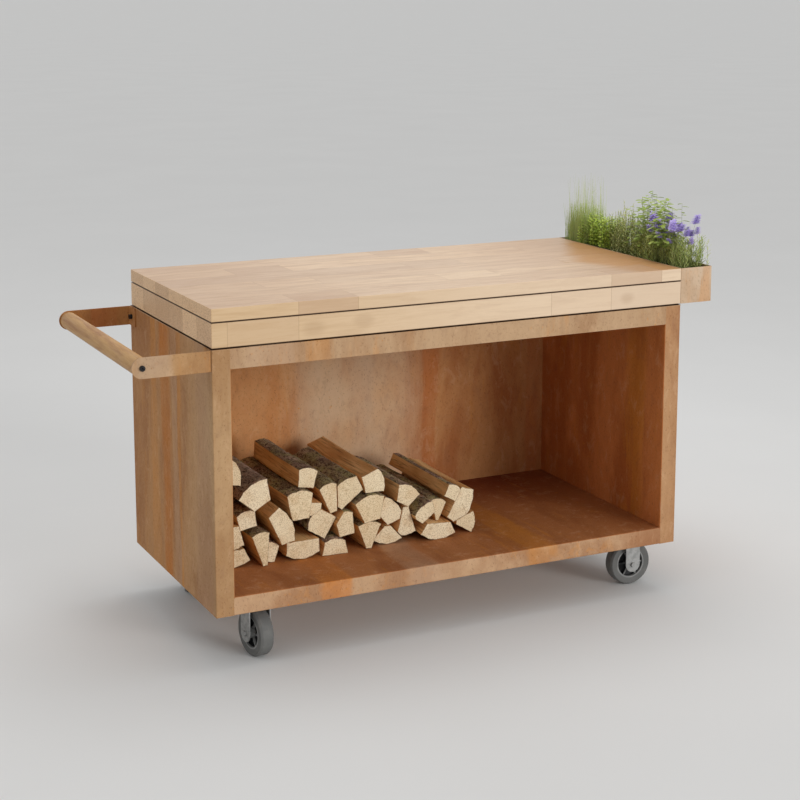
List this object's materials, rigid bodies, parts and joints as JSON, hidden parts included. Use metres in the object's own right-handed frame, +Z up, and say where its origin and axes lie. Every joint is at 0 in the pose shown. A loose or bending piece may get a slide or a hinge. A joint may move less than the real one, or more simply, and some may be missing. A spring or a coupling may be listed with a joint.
{
  "type": "outdoor worktable",
  "caption": "Corten steel worktable on castors with an open log store, double hardwood top, push handle and planted end trough.",
  "frame": {"origin": "on the ground, under the middle of the cabinet's footprint", "axes": "+X to the right along the front, +Y to the back, +Z up; the open front faces -Y"},
  "size_m": [1.6849, 0.6588, 1.1121],
  "materials": {
    "corten": "weathered rust, matte",
    "hardwood": "oiled, satin",
    "grip_wood": "oiled, satin",
    "split_wood": "rough sawn",
    "soil": "loose, matte",
    "foliage": "leafy, matte",
    "blossom": "leafy, matte",
    "pad_rubber": "matte",
    "tyre_rubber": "matte",
    "wheel_plastic": "matte",
    "brass": "plain",
    "black_steel": "black oxide",
    "zinc_steel": "zinc plated"
  },
  "bodies": {
    "cabinet": {"arm_bolts": "black_steel", "arm_nuts": "zinc_steel", "back_panel": "corten", "base_panel": "corten", "board_pads": "pad_rubber", "board_screws": "zinc_steel", "castor_bolts": "zinc_steel", "castor_channel_left": "corten", "castor_channel_right": "corten", "castor_kingpins": "zinc_steel", "castor_nuts": "zinc_steel", "castor_plate_front_left": "zinc_steel", "castor_plate_front_right": "zinc_steel", "castor_plate_rear_left": "zinc_steel", "castor_plate_rear_right": "zinc_steel", "grip_inserts": "brass", "grip_screws": "black_steel", "handle_arm_front": "corten", "handle_arm_rear": "corten", "handle_grip": "grip_wood", "left_wall": "corten", "lower_board": "hardwood", "plant_bush": "foliage", "plant_flowers": "blossom", "plant_grass": "foliage", "plant_leaves": "foliage", "planter_box": "corten", "planter_screws": "zinc_steel", "planter_soil": "soil", "right_wall": "corten", "top_panel": "corten", "top_rib_1": "corten", "top_rib_2": "corten", "top_rib_3": "corten", "upper_board": "hardwood"},
    "firewood": {"log_row_1": "split_wood", "log_row_2": "split_wood", "log_row_3": "split_wood", "log_row_4": "split_wood", "log_row_5": "split_wood"},
    "castor_front_left": {"castor_fork_front_left": "zinc_steel", "castor_axle_front_left": "zinc_steel"},
    "wheel_front_left": {"castor_wheel_core_front_left": "wheel_plastic", "castor_wheel_tyre_front_left": "tyre_rubber"},
    "castor_front_right": {"castor_fork_front_right": "zinc_steel", "castor_axle_front_right": "zinc_steel"},
    "wheel_front_right": {"castor_wheel_core_front_right": "wheel_plastic", "castor_wheel_tyre_front_right": "tyre_rubber"},
    "castor_rear_left": {"castor_fork_rear_left": "zinc_steel", "castor_axle_rear_left": "zinc_steel"},
    "wheel_rear_left": {"castor_wheel_core_rear_left": "wheel_plastic", "castor_wheel_tyre_rear_left": "tyre_rubber"},
    "castor_rear_right": {"castor_fork_rear_right": "zinc_steel", "castor_axle_rear_right": "zinc_steel"},
    "wheel_rear_right": {"castor_wheel_core_rear_right": "wheel_plastic", "castor_wheel_tyre_rear_right": "tyre_rubber"}
  },
  "joints": [
    {"name": "swivel_front_left", "type": "hinge", "parent": "cabinet", "child": "castor_front_left", "pos_m": [-0.552, -0.217, 0.139], "axis": [0, 0, 1], "continuous": true},
    {"name": "roll_front_left", "type": "hinge", "parent": "castor_front_left", "child": "wheel_front_left", "pos_m": [-0.54643, -0.25661, 0.0625], "axis": [0.9903, 0.1392, 0], "continuous": true},
    {"name": "swivel_front_right", "type": "hinge", "parent": "cabinet", "child": "castor_front_right", "pos_m": [0.552, -0.217, 0.139], "axis": [0, 0, 1], "continuous": true},
    {"name": "roll_front_right", "type": "hinge", "parent": "castor_front_right", "child": "wheel_front_right", "pos_m": [0.59195, -0.21909, 0.0625], "axis": [0.0523, 0.9986, 0], "continuous": true},
    {"name": "swivel_rear_left", "type": "hinge", "parent": "cabinet", "child": "castor_rear_left", "pos_m": [-0.552, 0.217, 0.139], "axis": [0, 0, 1], "continuous": true},
    {"name": "roll_rear_left", "type": "hinge", "parent": "castor_rear_left", "child": "wheel_rear_left", "pos_m": [-0.54165, 0.25564, 0.0625], "axis": [-0.9659, 0.2588, 0], "continuous": true},
    {"name": "swivel_rear_right", "type": "hinge", "parent": "cabinet", "child": "castor_rear_right", "pos_m": [0.552, 0.217, 0.139], "axis": [0, 0, 1], "continuous": true},
    {"name": "roll_rear_right", "type": "hinge", "parent": "castor_rear_right", "child": "wheel_rear_right", "pos_m": [0.58477, 0.23994, 0.0625], "axis": [-0.5736, 0.8192, 0], "continuous": true},
    {"name": "firewood_draw", "type": "slide", "parent": "cabinet", "child": "firewood", "axis": [0, -1, 0], "range_m": [0, 0.5]}
  ]
}
